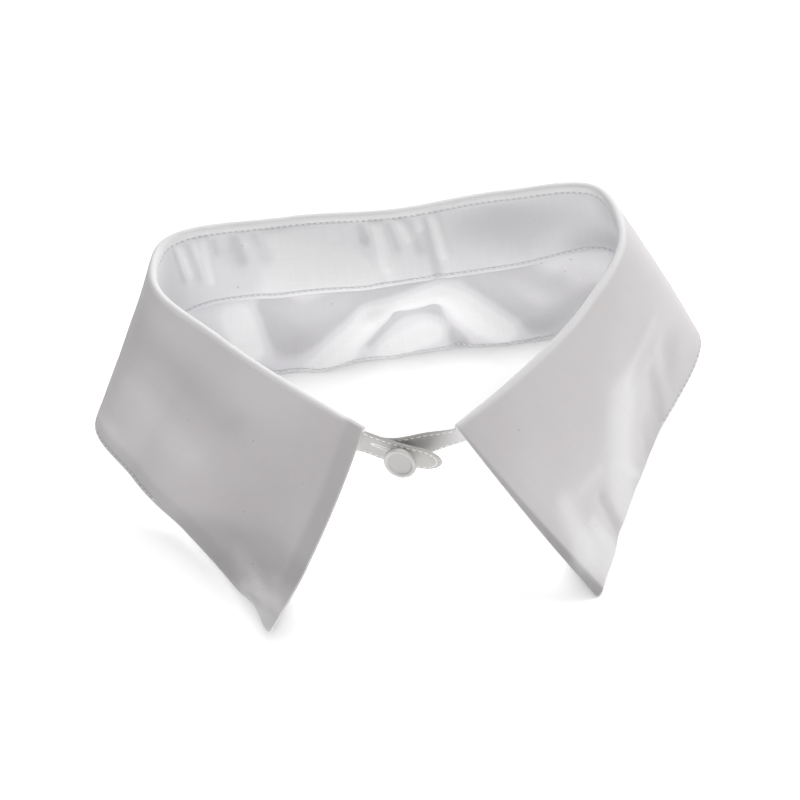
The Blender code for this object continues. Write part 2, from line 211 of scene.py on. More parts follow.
STAND_FOLDS = (
    # Puckers under the seam at the left end of the back
    Fold((0.328, 0.02), (0.329, 0.55), 0.60, 1.6),
    Fold((0.336, 0.02), (0.337, 0.50), -0.75, 1.3),
    Fold((0.343, 0.02), (0.344, 0.62), 0.55, 1.6),
    Fold((0.349, 0.02), (0.349, 0.26), -0.70, 1.0),
    Fold((0.356, 0.02), (0.353, 0.66), -0.80, 1.4),
    Fold((0.364, 0.02), (0.362, 0.30), 0.45, 1.2),
    Fold((0.378, 0.02), (0.380, 0.45), 0.70, 2.2),
    Fold((0.386, 0.02), (0.386, 0.22), -0.75, 1.2),
    Fold((0.390, 0.02), (0.397, 0.40), 0.95, 2.4),
    Fold((0.372, 0.30), (0.385, 0.90), 0.50, 5.0),
    # The flat stretch beside them leans in, most at its foot
    Fold((0.408, 0.25), (0.462, 0.75), -0.80, 9.0),
    Fold((0.405, 1.00), (0.465, 1.00), -1.6, 12.0),
    # Creases at the middle of the back
    Fold((0.474, 0.02), (0.476, 0.32), 0.85, 2.0),
    Fold((0.476, 0.32), (0.484, 0.85), 0.60, 2.6),
    Fold((0.488, 0.05), (0.490, 0.70), -1.30, 2.0),
    Fold((0.495, 0.02), (0.501, 0.50), 0.70, 1.8),
    Fold((0.505, 0.02), (0.511, 0.32), -1.15, 2.0),
    Fold((0.512, 0.02), (0.518, 0.55), 0.70, 2.0),
    Fold((0.520, 0.02), (0.521, 0.22), -0.90, 1.2),
    Fold((0.526, 0.02), (0.529, 0.95), 0.85, 2.2),
    Fold((0.531, 0.02), (0.537, 0.65), -1.45, 1.8),
    # Broad, faint ones on the right
    Fold((0.560, 0.30), (0.600, 0.60), 0.60, 10.0),
    Fold((0.590, 0.20), (0.640, 0.45), 0.50, 8.0),
    Fold((0.640, 0.85), (0.690, 0.70), 0.75, 6.0),
    # The sides and the front, which the leaf hides
    Fold((0.105, 0.02), (0.107, 0.60), 0.50, 2.0),
    Fold((0.142, 0.10), (0.150, 0.80), -1.05, 3.0),
    Fold((0.196, 0.02), (0.193, 0.50), 0.60, 1.8),
    Fold((0.205, 0.02), (0.206, 0.38), -0.80, 1.5),
    Fold((0.262, 0.30), (0.270, 0.95), 0.70, 3.5),
    Fold((0.742, 0.02), (0.744, 0.55), -0.90, 2.0),
    Fold((0.781, 0.20), (0.772, 0.90), 0.70, 3.0),
    Fold((0.840, 0.02), (0.843, 0.45), -0.80, 1.6),
    Fold((0.851, 0.02), (0.850, 0.62), 0.60, 1.9),
    Fold((0.060, 0.15), (0.068, 0.85), 0.40, 2.5),
    Fold((0.945, 0.30), (0.950, 0.90), 0.40, 2.5),
)
FOLD_EASE = 0.4
SEAM_EASE = 0.10


def crease_height(folds, along, down, length, depth):
    """Add up the creases at one place, as a height over the smooth cloth."""
    total = 0.0
    for fold in folds:
        start = Vector((fold.start[0] * length, fold.start[1] * depth))
        end = Vector((fold.end[0] * length, fold.end[1] * depth))
        here = Vector((along * length, down * depth))
        run = end - start
        part = min(1.0, max(0.0, (here - start).dot(run) / run.length_squared))
        away = (here - start - run * part).length
        if away < 3 * fold.width:
            total += fold.height * math.exp(-((away / fold.width) ** 2))
    return total


print(f"creases: {len(LEAF_FOLDS)} on the leaf, {len(STAND_FOLDS)} on the stand")

# %% [markdown]
# ## A smooth curve through the sections
# A spline that passes each point keeps the pressed edges where the table puts them. Its knots follow the
# distance between the points, which keeps it from swinging out where two of them are close together.

# %% Curves through points


def chord_length(points):
    """Add up the chords between the points."""
    return sum((after - before).length for before, after in zip(points, points[1:]))


def chord_shares(points):
    """Give each point's distance along the chords between the points, as a share of the whole."""
    whole = chord_length(points)
    return [chord_length(points[: index + 1]) / whole for index in range(len(points))]


def smooth_point(points, knots, share):
    """Find a point of the smooth curve that passes each point at its knot."""
    passed = [index for index, knot in enumerate(knots) if knot <= share]
    span = min(passed[-1], len(points) - 2)
    slopes = []
    for index in (span, span + 1):
        near = max(1, min(index, len(points) - 2))
        before = knots[near] - knots[near - 1]
        after = knots[near + 1] - knots[near]
        rise_before = (points[near] - points[near - 1]) / before
        rise_after = (points[near + 1] - points[near]) / after
        middle = (rise_before * after + rise_after * before) / (before + after)
        slopes.append(rise_before if index < near else rise_after if index > near else middle)
    width = knots[span + 1] - knots[span]
    part = (share - knots[span]) / width
    square = part * part
    cube = square * part
    return (
        points[span] * (2 * cube - 3 * square + 1)
        + slopes[0] * width * (cube - 2 * square + part)
        + points[span + 1] * (3 * square - 2 * cube)
        + slopes[1] * width * (cube - square)
    )


LEAF_COLUMNS = [[Vector(value) for value in column] for column in zip(*SECTIONS)]
LEAF_KNOTS = chord_shares(LEAF_COLUMNS[0])
LEAF_LENGTH = chord_length(LEAF_COLUMNS[0])


@lru_cache(maxsize=None)
def section_axes(share):
    """Find a section's crest, hem, foot, and the stand's upward and outward directions there."""
    crest, hem, foot = [smooth_point(column, LEAF_KNOTS, share) for column in LEAF_COLUMNS]
    ahead = smooth_point(LEAF_COLUMNS[0], LEAF_KNOTS, min(share + TANGENT_STEP, 1.0))
    behind = smooth_point(LEAF_COLUMNS[0], LEAF_KNOTS, max(share - TANGENT_STEP, 0.0))
    way = (ahead - behind).normalized()
    up = crest - foot
    up = (up - way * up.dot(way)).normalized()
    return crest, hem, foot, up, up.cross(way).normalized()


print(f"the fold is {LEAF_LENGTH:.0f} mm round")

# %% [markdown]
# ## The middle of the leaf
# The leaf rises from its seam as a short inner leg, turns over in a tight round fold, and falls to the hem
# with a slight bow. Its front edges curve a little, and its points are rounded, as turned cloth always is.
# The right front edge also rolls under, more and more towards the point.

# %% The leaf's middle surface
EDGE_ROLLS = (0.0, 2.4)
ROLL_REACH = 4.0


def tip_shortening(distance):
    """Say how much of the leaf's width its rounded point takes away, near the front edge."""
    inside = TIP_RADIUS - min(distance, TIP_RADIUS)
    return TIP_RADIUS - math.sqrt(TIP_RADIUS**2 - inside**2)


def hem_hollow(distance, side_index):
    """Say how much of the leaf's width the hollow behind its point takes away."""
    return HEM_HOLLOWS[side_index] * math.exp(-(((distance - HOLLOW_PLACE) / HOLLOW_WIDTH) ** 2))


def fold_rise(share):
    """Say how far the fold stands above the stand, which is least at the back of the neck."""
    front, back = FOLD_RISES
    return front + (back - front) * math.sin(math.pi * share)


@lru_cache(maxsize=None)
def leaf_fold(share):
    """Find where the fold turns, how far it turns, and where the fall starts and ends."""
    crest, hem, _foot, up, outward = section_axes(share)
    centre = crest - up * FOLD_RADIUS
    fall = hem - centre
    lean = math.atan2(fall.dot(outward), -fall.dot(up)) + math.atan2(4 * LEAF_BOW, fall.length)
    sweep = math.pi - lean
    start = centre + (up * math.sin(sweep) - outward * math.cos(sweep)) * FOLD_RADIUS
    side = (up * math.sin(lean) + outward * math.cos(lean)).normalized()
    ends = min(share, 1 - share) * LEAF_LENGTH
    side_index = 0 if share < 0.5 else 1
    kept = 1 - (tip_shortening(ends) + hem_hollow(ends, side_index)) / (hem - start).length
    return centre, sweep, start, hem - start, side, kept


@lru_cache(maxsize=None)
def leaf_crease(share, down):
    """Give the height of the creases at a place of the leaf's fall, which fade out towards the fold."""
    _centre, _sweep, _start, fall, _side, kept = leaf_fold(share)
    ease = math.sin(math.pi / 2 * min(1.0, down * kept / FOLD_EASE))
    return crease_height(LEAF_FOLDS, share, down * kept, LEAF_LENGTH, fall.length) * ease


def leaf_place(share, down):
    """Find a place on the middle of the leaf's fall, by its share of the way down to the hem."""
    _crest, _hem, _foot, up, outward = section_axes(share)
    _centre, _sweep, start, fall, side, kept = leaf_fold(share)
    side_index = 0 if share < 0.5 else 1
    forward = up.cross(outward) * (1 - 2 * side_index)
    ends = min(share, 1 - share) * LEAF_LENGTH
    crease = leaf_crease(share, down)
    down *= kept
    arch = 4 * down * (1 - down)
    curve = EDGE_CURVES[side_index] * arch * max(0.0, 1 - ends / EDGE_REACH) ** 2
    roll = EDGE_ROLLS[side_index] * down * down * max(0.0, 1 - ends / ROLL_REACH) ** 2
    return start + fall * down + side * (LEAF_BOW * arch + crease - roll) + forward * curve


# %% [markdown]
# ## The middle of the stand
# The stand is a straight band with rounded ends. Its top edge stays just under the leaf's inner leg, and the
# tabs reach past the leaf's ends, where they cross.

# %% The stand's middle surface


def stand_top(share):
    """Place the stand's top edge, just under the leaf's inner leg."""
    crest, _hem, _foot, up, outward = section_axes(share)
    return crest - up * (FOLD_RADIUS + fold_rise(share) + SEAM_GAP) - outward * FOLD_RADIUS


def stand_edges():
    """Give the stand's top and bottom edges from the left tab's end to the right tab's end."""
    tops = [Vector(row.top) for row in reversed(OVER_TAB)]
    feet = [Vector(row.foot) for row in reversed(OVER_TAB)]
    for knot in LEAF_KNOTS:
        tops.append(stand_top(knot))
        feet.append(section_axes(knot)[2])
    tops += [Vector(row.top) for row in UNDER_TAB]
    feet += [Vector(row.foot) for row in UNDER_TAB]
    return tops, feet


STAND_TOPS, STAND_FEET = stand_edges()
STAND_KNOTS = chord_shares(STAND_TOPS)
STAND_LENGTH = chord_length(STAND_TOPS)
LEAF_STARTS = STAND_KNOTS[len(OVER_TAB)]
LEAF_ENDS = STAND_KNOTS[-1 - len(UNDER_TAB)]


@lru_cache(maxsize=None)
def stand_section(share):
    """Find the middle of the stand's height at one place, and the half height as a vector upwards."""
    top = smooth_point(STAND_TOPS, STAND_KNOTS, share)
    foot = smooth_point(STAND_FEET, STAND_KNOTS, share)
    if LEAF_STARTS <= share <= LEAF_ENDS:
        top = stand_top((share - LEAF_STARTS) / (LEAF_ENDS - LEAF_STARTS))
    return (top + foot) / 2, (top - foot) / 2


def stand_place(share, height):
    """Find a place on the middle of the stand's wall, by its height over the band's middle line."""
    share = min(1.0, max(0.0, share))
    middle, half = stand_section(share)
    down = (1 - height / half.length) / 2
    return middle + half * (height / half.length) + stand_lift(share, down)


@lru_cache(maxsize=None)
def stand_crease(share, down):
    """Give the height of the creases at a place of the stand, which fade out at the seam with the leaf."""
    depth = 2 * stand_section(share)[1].length
    ease = min(1.0, max(0.0, down / SEAM_EASE))
    return crease_height(STAND_FOLDS, share, down, STAND_LENGTH, depth) * ease


def stand_lift(share, down):
    """Move the stand's cloth in or out by its creases."""
    near = TANGENT_STEP / 2
    ahead, _half = stand_section(min(1.0, share + near))
    behind, half = stand_section(max(0.0, share - near))
    outward = half.cross(ahead - behind).normalized()
    return outward * stand_crease(share, down)


print(f"the stand is {STAND_LENGTH:.0f} mm long")

# %% [markdown]
# ## From a surface to cloth
# A collar's cloth is two plies with an interlining, about a millimetre in all, and its edges are turned,
# not cut. So each wall is one closed skin on both sides of the middle surface, as thick as the cloth, that
# closes round its edges. Along the leaf's hem, where four plies lie over each other, it is a little
# thicker. On the stand the stitching pulls it in along a narrow groove. Attributes stay on the skin for the
# materials: where each point lies on the flat cloth, how far it is from the nearest edge and from the
# stitching, how high it is on a crease as seen from its own side, whether it is on the leaf's outer face or
# on the stand, and how much painted shade greys it, as on the tabs near their ends.

# %% Make walls of cloth
EDGE_STEPS = (0.0, 0.06, 0.18, 0.35, 0.6)
ALLOWANCE_WIDTH = 6.5
ALLOWANCE_EASE = 1.2
ALLOWANCE_RISE = 0.06
GROOVE_DEPTH = 0.16
GROOVE_WIDTH = 0.6
STAND_THINNER = 0.12
# Painted shade on the tabs: full this far from their ends, fading out over the ease
TAB_SHADE_LENGTH = 24.0
TAB_SHADE_EASE = 14.0
FOLD_WHITE = 2.5

# A spot of a sheet: its place, where it lies on the flat cloth, its distance from the nearest edge and from
# the nearest turned edge, the height of the creases there, and on the stand its distance from the stitching
Spot = namedtuple("Spot", "place flat edge hem crease stitching")


def half_wall(edge, stitching):
    """Give half the cloth's thickness at a distance from its edge and, on the stand, from its stitching."""
    inside = 1 - min(1.0, edge / (CLOTH / 2))
    if stitching is None:
        beyond = min(1.0, max(0.0, (edge - ALLOWANCE_WIDTH) / ALLOWANCE_EASE))
        thinner = ALLOWANCE_RISE * beyond * beyond * (3 - 2 * beyond)
    else:
        thinner = STAND_THINNER + GROOVE_DEPTH * math.exp(-((stitching / GROOVE_WIDTH) ** 2))
    return (CLOTH / 2 - thinner) * math.sqrt(1 - inside * inside)


def tab_shade(distance):
    """Say how much painted shade greys a place of the stand, by its distance from the nearer tab's end."""
    part = min(1.0, max(0.0, (TAB_SHADE_LENGTH + TAB_SHADE_EASE - distance) / TAB_SHADE_EASE))
    return part * part * (3 - 2 * part)


def grid_normals(grid):
    """Find the outward normal of the sheet at each spot of its grid."""
    last_row, last_point = len(grid) - 1, len(grid[0]) - 1
    normals = []
    for row, spots in enumerate(grid):
        line = []
        for index in range(last_point + 1):
            along = grid[min(row + 1, last_row)][index].place - grid[max(row - 1, 0)][index].place
            across = spots[min(index + 1, last_point)].place - spots[max(index - 1, 0)].place
            line.append(along.cross(across).normalized())
        normals.append(line)
    return normals


def make_wall(name, grid, hole=None):
    """Make a closed skin round a grid of spots, leaving the faces of a hole open through the wall."""
    normals = grid_normals(grid)
    mesh = bmesh.new()
    flat_layer = mesh.verts.layers.float_vector.new("cloth_mm")
    layers = [mesh.verts.layers.float.new(key) for key in ("edge_mm", "crease_mm", "is_leaf", "is_stand")]
    layers += [mesh.verts.layers.float.new(key) for key in ("stitching_mm", "tab_shade", "hem_mm")]
    sides = []
    for side in (1, -1):
        layer = []
        for row, (spots, ways) in enumerate(zip(grid, normals)):
            line = []
            for spot, way in zip(spots, ways):
                thick = half_wall(spot.edge, spot.stitching)
                if side < 0 and thick < 1e-6:
                    line.append(sides[0][row][len(line)])
                    continue
                place = spot.place + way * (side * thick) - FOOTPRINT_CENTRE
                place.z = max(place.z, 0.0)
                made = mesh.verts.new(place * MM)
                made[flat_layer] = (*spot.flat, 0.0)
                if spot.stitching is None:
                    # The leaf's outer tone fades in only past the fold, so the fold keeps the whiter inside
                    # tone: painted light on the fold
                    outside = max(side, 0) * min(1.0, max(0.0, 1 + spot.flat[1] / FOLD_WHITE))
                    values = (spot.edge, spot.crease * side, outside, 0.0, 0.0, 0.0, spot.hem)
                else:
                    tab_shaded = tab_shade(min(spot.flat[0], STAND_LENGTH - spot.flat[0]))
                    values = (spot.edge, spot.crease * side, 0.0, 1.0, spot.stitching, tab_shaded, spot.hem)
                for each, value in zip(layers, values):
                    made[each] = value
                line.append(made)
            layer.append(line)
        sides.append(layer)
    outer, inner = sides
    for i in range(len(grid) - 1):
        for j in range(len(grid[0]) - 1):
            if hole and hole(i, j):
                continue
            corners = ((i, j), (i + 1, j), (i + 1, j + 1), (i, j + 1))
            add_face(mesh, [outer[a][b] for a, b in corners])
            add_face(mesh, [inner[a][b] for a, b in reversed(corners)])
            neighbours = ((i, j - 1), (i + 1, j), (i, j + 1), (i - 1, j))
            for (a, b), (c, d), beside in zip(corners, corners[1:] + corners[:1], neighbours):
                if hole and hole(*beside):
                    add_face(mesh, (outer[c][d], outer[a][b], inner[a][b], inner[c][d]))
    return finish_mesh(name, mesh)


def add_face(mesh, corners):
    """Add a face, leaving out corners that fall together and faces that have none left."""
    corners = list(dict.fromkeys(corners))
    if len(corners) > 2 and not mesh.faces.get(corners):
        mesh.faces.new(corners)


def finish_mesh(name, mesh):
    """Turn a bmesh into a smooth object with outward faces."""
    bmesh.ops.recalc_face_normals(mesh, faces=mesh.faces)
    data = bpy.data.meshes.new(name)
    mesh.to_mesh(data)
    mesh.free()
    data.shade_smooth()
    made = bpy.data.objects.new(name, data)
    scene.collection.objects.link(made)
    return made


# %% [markdown]
# ## The leaf
# The grid is finer where the cloth bends most: round the fold, and within half a millimetre of every edge.
# The leaf's inner leg reaches into the stand's top edge, so that no daylight shows through the seam.

# %% Build the leaf
LEAF_PITCH = 1.5
SEAM_TUCK = 0.65
FOLD_STEPS = 12
FALL_STEPS = 44


def spaced_shares(length, pitch, edge_steps):
    """Space shares of a length evenly, with more of them near both ends."""
    count = round(length / pitch)
    inner = edge_steps[-1] / length
    shares = [inner + (1 - 2 * inner) * index / count for index in range(count + 1)]
    ends = [step / length for step in edge_steps[:-1]]
    return ends + shares + [1 - end for end in reversed(ends)]


def leaf_line(share):
    """Lay spots from the leaf's seam over the fold to the hem, each with its width of cloth from the fold."""
    _crest, _hem, _foot, up, outward = section_axes(share)
    centre, sweep, start, fall, _side, kept = leaf_fold(share)
    turned = FOLD_RADIUS * sweep
    tucked = fold_rise(share) + SEAM_TUCK
    foot = centre - outward * FOLD_RADIUS - up * tucked
    line = [(foot + up * step, step - tucked - turned, 0.0) for step in EDGE_STEPS]
    for step in range(FOLD_STEPS):
        turn = sweep * step / FOLD_STEPS
        point = centre + (up * math.sin(turn) - outward * math.cos(turn)) * FOLD_RADIUS
        line.append((point, FOLD_RADIUS * turn - turned, 0.0))
    depth = fall.length * kept
    last = depth - EDGE_STEPS[-1]
    belows = [last * step / (FALL_STEPS - 1) for step in range(FALL_STEPS)]
    belows += [depth - step for step in reversed(EDGE_STEPS[:-1])]
    line += [(leaf_place(share, below / depth), below, leaf_crease(share, below / depth)) for below in belows]
    return line


def build_leaf():
    """Build the leaf's cloth."""
    shares = spaced_shares(LEAF_LENGTH, LEAF_PITCH, EDGE_STEPS)
    lines = [leaf_line(share) for share in shares]
    grid = []
    for share, line in zip(shares, lines):
        seam, hem = line[0][1], line[-1][1]
        spots = []
        for (place, below, crease), first, last in zip(line, lines[0], lines[-1]):
            front = min((place - first[0]).length, (place - last[0]).length)
            turned_edge = min(front, hem - below)
            edge = min(turned_edge, below - seam)
            spots.append(Spot(place, (share * LEAF_LENGTH, below), edge, turned_edge, crease, None))
        grid.append(spots)
    return make_wall("leaf_cloth", grid)


leaf = build_leaf()
print(f"leaf: {len(leaf.data.polygons)} faces")

# %% [markdown]
# ## The stand and its buttonhole
# The buttonhole is a slit in the left tab. The grid has a line on each side of it, so it is left open simply
# by leaving out the faces between them and closing the wall there.

# %% Build the stand
STAND_PITCH = 0.9
STITCH_INSET = 1.7
SEAM_STITCH_INSET = 0.5
INSET_EASE = 6.0
STAND_ROWS = 18
BUTTON_FROM_END = 12.2
THREAD_DIAMETER = 1.0
BUTTONHOLE_LENGTH = 11.0
BUTTONHOLE_DEPTH = 0.40
SLIT_WIDTH = 0.9
SLIT_START = BUTTON_FROM_END - THREAD_DIAMETER
SLIT_END = SLIT_START + BUTTONHOLE_LENGTH


def stand_half(share):
    """Give the half height of the stand, cut down by its rounded ends."""
    inside = TAB_ROUNDING - min(min(share, 1 - share) * STAND_LENGTH, TAB_ROUNDING)
    return stand_section(share)[1].length * math.sqrt(1 - (inside / TAB_ROUNDING) ** 2)


def stand_edge(share, height):
    """Give the distance from the stand's nearest edge, its rounded ends being parts of ellipses."""
    half = stand_section(share)[1].length
    inside = TAB_ROUNDING - min(share, 1 - share) * STAND_LENGTH
    if inside <= 0:
        return half - abs(height)
    across, up = inside / TAB_ROUNDING, height / half
    radius = math.hypot(across, up)
    slope = math.hypot(across / TAB_ROUNDING, up / half) / max(radius, 1e-6)
    return max(0.0, (1 - radius) / max(slope, 1e-6))


def stitch_inset(share, height):
    """Say how far inside the stand's edge its stitching runs, which is least along the seam with the leaf."""
    inside = min(share - LEAF_STARTS, LEAF_ENDS - share) * STAND_LENGTH
    part = min(1.0, max(0.0, inside / INSET_EASE + 0.5)) if height > 0 else 0.0
    return STITCH_INSET + (SEAM_STITCH_INSET - STITCH_INSET) * part


def stand_downs():
    """Give the grid's shares of the way down the stand, with a line on each side of the slit."""
    half = stand_section((SLIT_START + SLIT_END) / 2 / STAND_LENGTH)[1].length
    groove = [STITCH_INSET + GROOVE_WIDTH * part for part in (-1.6, -0.8, 0.0, 0.8, 1.6)]
    downs = [step / (2 * half) for step in (*EDGE_STEPS, *groove)]
    downs += [1 - down for down in downs]
    slit = SLIT_WIDTH / (4 * half)
    downs += [BUTTONHOLE_DEPTH - slit, BUTTONHOLE_DEPTH + slit]
    for step in range(1, STAND_ROWS):
        down = step / STAND_ROWS
        if min(abs(down - other) for other in downs) > 0.015:
            downs.append(down)
    return sorted(downs)


def build_stand():
    """Build the stand's cloth with the open buttonhole."""
    count = round(STAND_LENGTH / STAND_PITCH)
    rounding = TAB_ROUNDING / STAND_LENGTH
    ends = [rounding * (1 - math.cos(math.pi / 2 * step / 12)) for step in range(12)]
    shares = ends + [rounding + (1 - 2 * rounding) * index / count for index in range(count + 1)]
    shares += [1 - end for end in reversed(ends)]
    slit = (SLIT_START / STAND_LENGTH, SLIT_END / STAND_LENGTH)
    shares = [share for share in shares if min(abs(share - end) for end in slit) > 0.4 / STAND_LENGTH]
    shares = sorted(shares + list(slit))
    downs = stand_downs()
    grid = []
    for share in shares:
        half = stand_half(share)
        depth = 2 * stand_section(share)[1].length
        spots = []
        for down in downs:
            height = half * (1 - 2 * down) if half > 1e-6 else 0.0
            edge = stand_edge(share, height)
            crease = stand_crease(share, 0.5 - height / depth)
            stitching = abs(edge - stitch_inset(share, height))
            flat = (share * STAND_LENGTH, -height)
            spots.append(Spot(stand_place(share, height), flat, edge, edge, crease, stitching))
        grid.append(spots)
    first, last = shares.index(slit[0]), shares.index(slit[1])
    spread = SLIT_WIDTH / (4 * stand_section(sum(slit) / 2)[1].length)
    row = downs.index(BUTTONHOLE_DEPTH - spread)
    return make_wall("stand_cloth", grid, lambda i, j: first <= i < last and j == row)


stand = build_stand()
print(f"stand: {len(stand.data.polygons)} faces")

# %% [markdown]
# ## Materials
# Each material is a small tree of nodes. One function adds any node with its settings and links, so that the
# trees below read like recipes. Colours are written as they look on a screen and turned to light here.

# %% Helpers for materials


def light_of(code):
    """Turn a screen colour such as F0F0F0 into linear light."""
    values = [int(code[index : index + 2], 16) / 255 for index in (0, 2, 4)]
    linear = [value / 12.92 if value <= 0.04045 else ((value + 0.055) / 1.055) ** 2.4 for value in values]
    return (*linear, 1.0)


def add_node(tree, kind, settings=None, **inputs):
    """Add a node to a tree: its settings by name, its inputs by value or by the socket that feeds them."""
    node = tree.nodes.new(kind)
    for name, value in (settings or {}).items():
        setattr(node, name, value)
    for name, value in inputs.items():
        key = int(name[1:]) if name[0] == "i" and name[1:].isdigit() else name.replace("_", " ")
        if isinstance(value, bpy.types.NodeSocket):
            tree.links.new(value, node.inputs[key])
        else:
            node.inputs[key].default_value = value
    return node


def blend(tree, amount, one, other):
    """Blend two colours, each a socket or a hex code, by an amount."""
    colours = [light_of(value) if isinstance(value, str) else value for value in (one, other)]
    return add_node(
        tree, "ShaderNodeMix", {"data_type": "RGBA"}, i0=amount, i6=colours[0], i7=colours[1]
    ).outputs[2]


def ramp(tree, value, low, high, first, last, kind="SMOOTHSTEP"):
    """Turn a value that runs from low to high into one that runs from first to last."""
    return add_node(
        tree, "ShaderNodeMapRange", {"interpolation_type": kind},
        Value=value, From_Min=low, From_Max=high, To_Min=first, To_Max=last,
    ).outputs["Result"]


def work_out(tree, operation, *values):
    """Add, multiply or compare numbers or sockets."""
    inputs = {f"i{index}": value for index, value in enumerate(values)}
    return add_node(tree, "ShaderNodeMath", {"operation": operation}, **inputs).outputs["Value"]


def multiply(tree, first, *others):
    """Multiply several sockets or numbers."""
    for other in others:
        first = work_out(tree, "MULTIPLY", first, other)
    return first


def read(tree, name, output="Fac"):
    """Read an attribute of the skin."""
    return add_node(tree, "ShaderNodeAttribute", {"attribute_name": name}).outputs[output]


def add_noise(tree, place, scale, detail, **values):
    """Add a cloudy noise at a place."""
    noise = add_node(tree, "ShaderNodeTexNoise", None, Vector=place, Scale=scale, Detail=detail, **values)
    return noise.outputs["Fac"]


def add_bumps(tree, shader, bumps, strength=1.0):
    """Lay reliefs over each other, each a height and its depth in mm, and give them to the shader."""
    normal = None
    for height, depth in bumps:
        bump = add_node(tree, "ShaderNodeBump", None, Height=height, Distance=depth * MM, Strength=strength)
        if normal:
            tree.links.new(normal, bump.inputs["Normal"])
        normal = bump.outputs["Normal"]
    tree.links.new(normal, shader.inputs["Normal"])


def start_material(name, **values):
    """Start a material with the shader's even values set on its own sockets."""
    made = bpy.data.materials.new(name)
    made.use_nodes = True
    shader = made.node_tree.nodes["Principled BSDF"]
    for key, value in values.items():
        shader.inputs[key.replace("_", " ")].default_value = value
    return made, made.node_tree, shader


# %% [markdown]
# ### Starched cotton poplin
# The cloth is a dense plain weave, bleached white, starched and ironed. Real threads are a quarter of a
# millimetre apart, too fine to draw, so the weave here is two and a half times coarser and very shallow. It
# only breaks up the light, as do the thicker places in single threads. A faint mottle keeps the white from
# being one flat tone, and the seam allowance is a shade darker, because four plies let less light through.

# %% The cotton
THREAD_PITCH = 0.6
WEAVE_DEPTH = 0.05
PUCKER_REACH = (1.0, 5.0)
CREST_BAND = (-1.0, 1.2)
BAND_EASE = 1.6
POINT_TRIM = (9.0, 22.0)
ROLL_BAND = (1.3, 0.1)
LINE_SHADE = (0.25, 0.7)
HEM_STITCHED = (0.125, 0.83)
HEM_INSET = 1.4
LEFT_POINT = Vector((0.0, leaf_line(0.0)[-1][1], 0.0))


def make_weave(tree, flat):
    """Draw warp and weft: two sets of soft ribs, and the threads' uneven thickness along each of them."""
    threads = []
    for turn, stretch in (("X", (0.06, 1.6, 1.0)), ("Y", (1.6, 0.06, 1.0))):
        ribs = add_node(
            tree, "ShaderNodeTexWave", {"wave_type": "BANDS", "bands_direction": turn, "wave_profile": "SIN"},
            Vector=flat, Scale=math.pi / 10 / THREAD_PITCH, Distortion=0.0,
        ).outputs["Fac"]
        uneven = add_node(tree, "ShaderNodeMapping", None, Vector=flat, Scale=stretch).outputs["Vector"]
        slub = add_noise(tree, uneven, 1.0, 2.0)
        threads.append(work_out(tree, "MULTIPLY_ADD", ribs, 0.4, slub))
    return work_out(tree, "ADD", *threads)


def add_relief(tree, shader, weave, place, edge):
    """Give the cloth its weave, the iron's soft dents, and puckers that fade out from the edge."""
    dents = add_noise(tree, place, 70.0, 3.0, Roughness=0.45)
    near_edge = ramp(tree, edge, *PUCKER_REACH, 1.0, 0.0)
    pucker = multiply(tree, add_noise(tree, place, 420.0, 2.0), near_edge)
    add_bumps(tree, shader, ((weave, WEAVE_DEPTH * 0.35), (dents, 0.5), (pucker, 0.14)))


def allowance_band(tree, from_turn, along, flat, is_leaf):
    """Say where the seam allowance is painted darker on the leaf, as painted shade: most on the left, and not in
    its trimmed point.
    """
    plies = ramp(tree, from_turn, ALLOWANCE_WIDTH - BAND_EASE, ALLOWANCE_WIDTH + BAND_EASE, 1.0, 0.0)
    leftward = ramp(tree, along, 0.3 * LEAF_LENGTH, 0.6 * LEAF_LENGTH, 0.85, 0.12)
    to_point = add_node(tree, "ShaderNodeVectorMath", {"operation": "DISTANCE"}, i0=flat, i1=LEFT_POINT)
    trimmed = ramp(tree, to_point.outputs["Value"], *POINT_TRIM, 0.15, 1.0)
    return multiply(tree, plies, leftward, is_leaf, trimmed)


def rolled_edge(tree, along, down, is_leaf):
    """Say where the right front edge rolls under and turns away from the light, towards its point."""
    slanted = work_out(tree, "MULTIPLY_ADD", down, 0.03, along)
    rolled = ramp(tree, slanted, LEAF_LENGTH - ROLL_BAND[0], LEAF_LENGTH - ROLL_BAND[1], 0.0, 0.75)
    pointed = ramp(tree, down, 0.0, 60.0, 0.35, 1.0, "LINEAR")
    return multiply(tree, rolled, pointed, is_leaf)


def hem_line(tree, from_turn, along, is_leaf, off_stand):
    """Say where the shade lies along the hem's stitches: it is stronger on the outer face."""
    from_hem = work_out(tree, "ABSOLUTE", work_out(tree, "SUBTRACT", from_turn, HEM_INSET))
    pulled_in = ramp(tree, from_hem, *LINE_SHADE, 0.6, 0.0)
    middle, reach = sum(HEM_STITCHED) / 2, (HEM_STITCHED[1] - HEM_STITCHED[0]) / 2
    sewn = work_out(tree, "COMPARE", work_out(tree, "DIVIDE", along, LEAF_LENGTH), middle, reach)
    fainter = work_out(tree, "MULTIPLY_ADD", is_leaf, 0.65, 0.35)
    return multiply(tree, pulled_in, sewn, off_stand, fainter)


